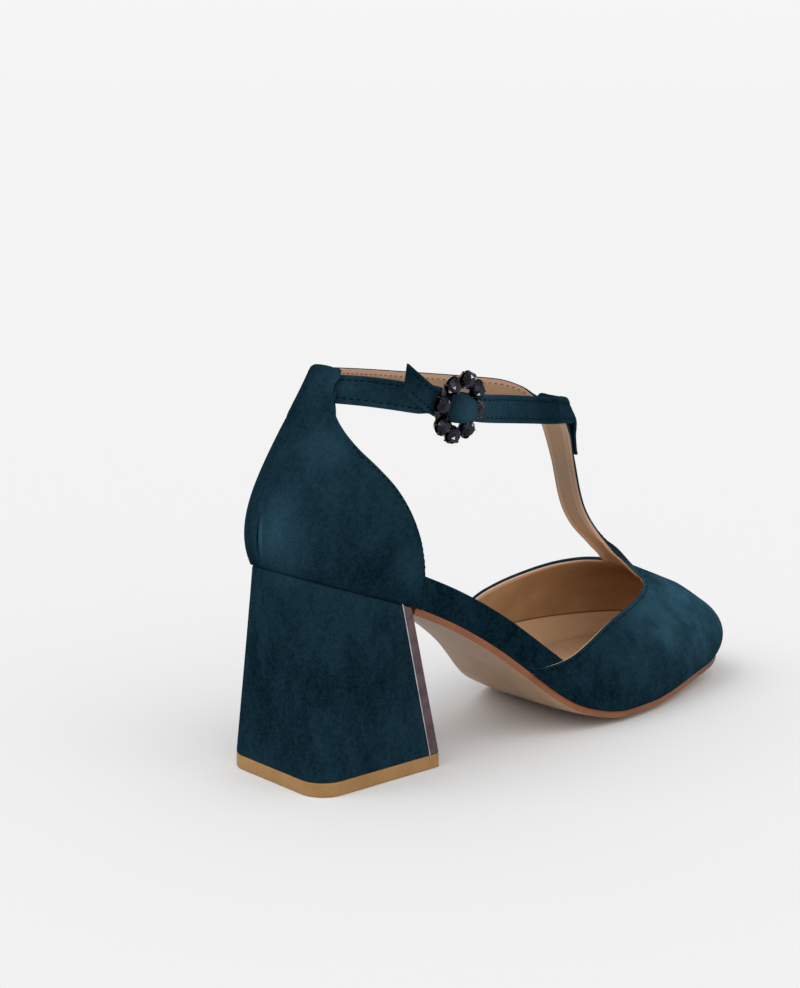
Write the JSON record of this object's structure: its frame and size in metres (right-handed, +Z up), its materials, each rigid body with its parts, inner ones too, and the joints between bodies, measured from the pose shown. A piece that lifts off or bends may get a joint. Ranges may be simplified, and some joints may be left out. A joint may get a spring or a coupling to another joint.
{
  "type": "t-strap pump shoe",
  "caption": "Right suede pump with an open waist, a T-strap, an ankle strap with a jewelled ring buckle and a flared block heel; it is worn on the foot.",
  "frame": {"origin": "middle of the heel's tread on the floor", "axes": "+X to the toe, +Y to the inner side of the foot, +Z up"},
  "size_m": [0.2355, 0.0811, 0.1503],
  "materials": {
    "suede": "matt suede with a soft nap",
    "lining": "smooth lining leather",
    "sole": "satin sole leather",
    "lift": "tan top-lift rubber",
    "plate": "dark polished metal",
    "gunmetal": "dark polished metal",
    "crystal": "faceted dark crystal"
  },
  "bodies": {
    "root": {"outsole": "sole", "insole": "lining", "heel_block": "suede", "heel_breast_plate": "plate", "heel_top_lift": "lift", "upper": "suede", "ankle_strap": "suede", "buckle_frame": "gunmetal", "crystal_1": "crystal", "crystal_2": "crystal", "crystal_3": "crystal", "crystal_4": "crystal", "crystal_5": "crystal", "crystal_6": "crystal", "crystal_7": "crystal", "crystal_8": "crystal"}
  },
  "joints": []
}
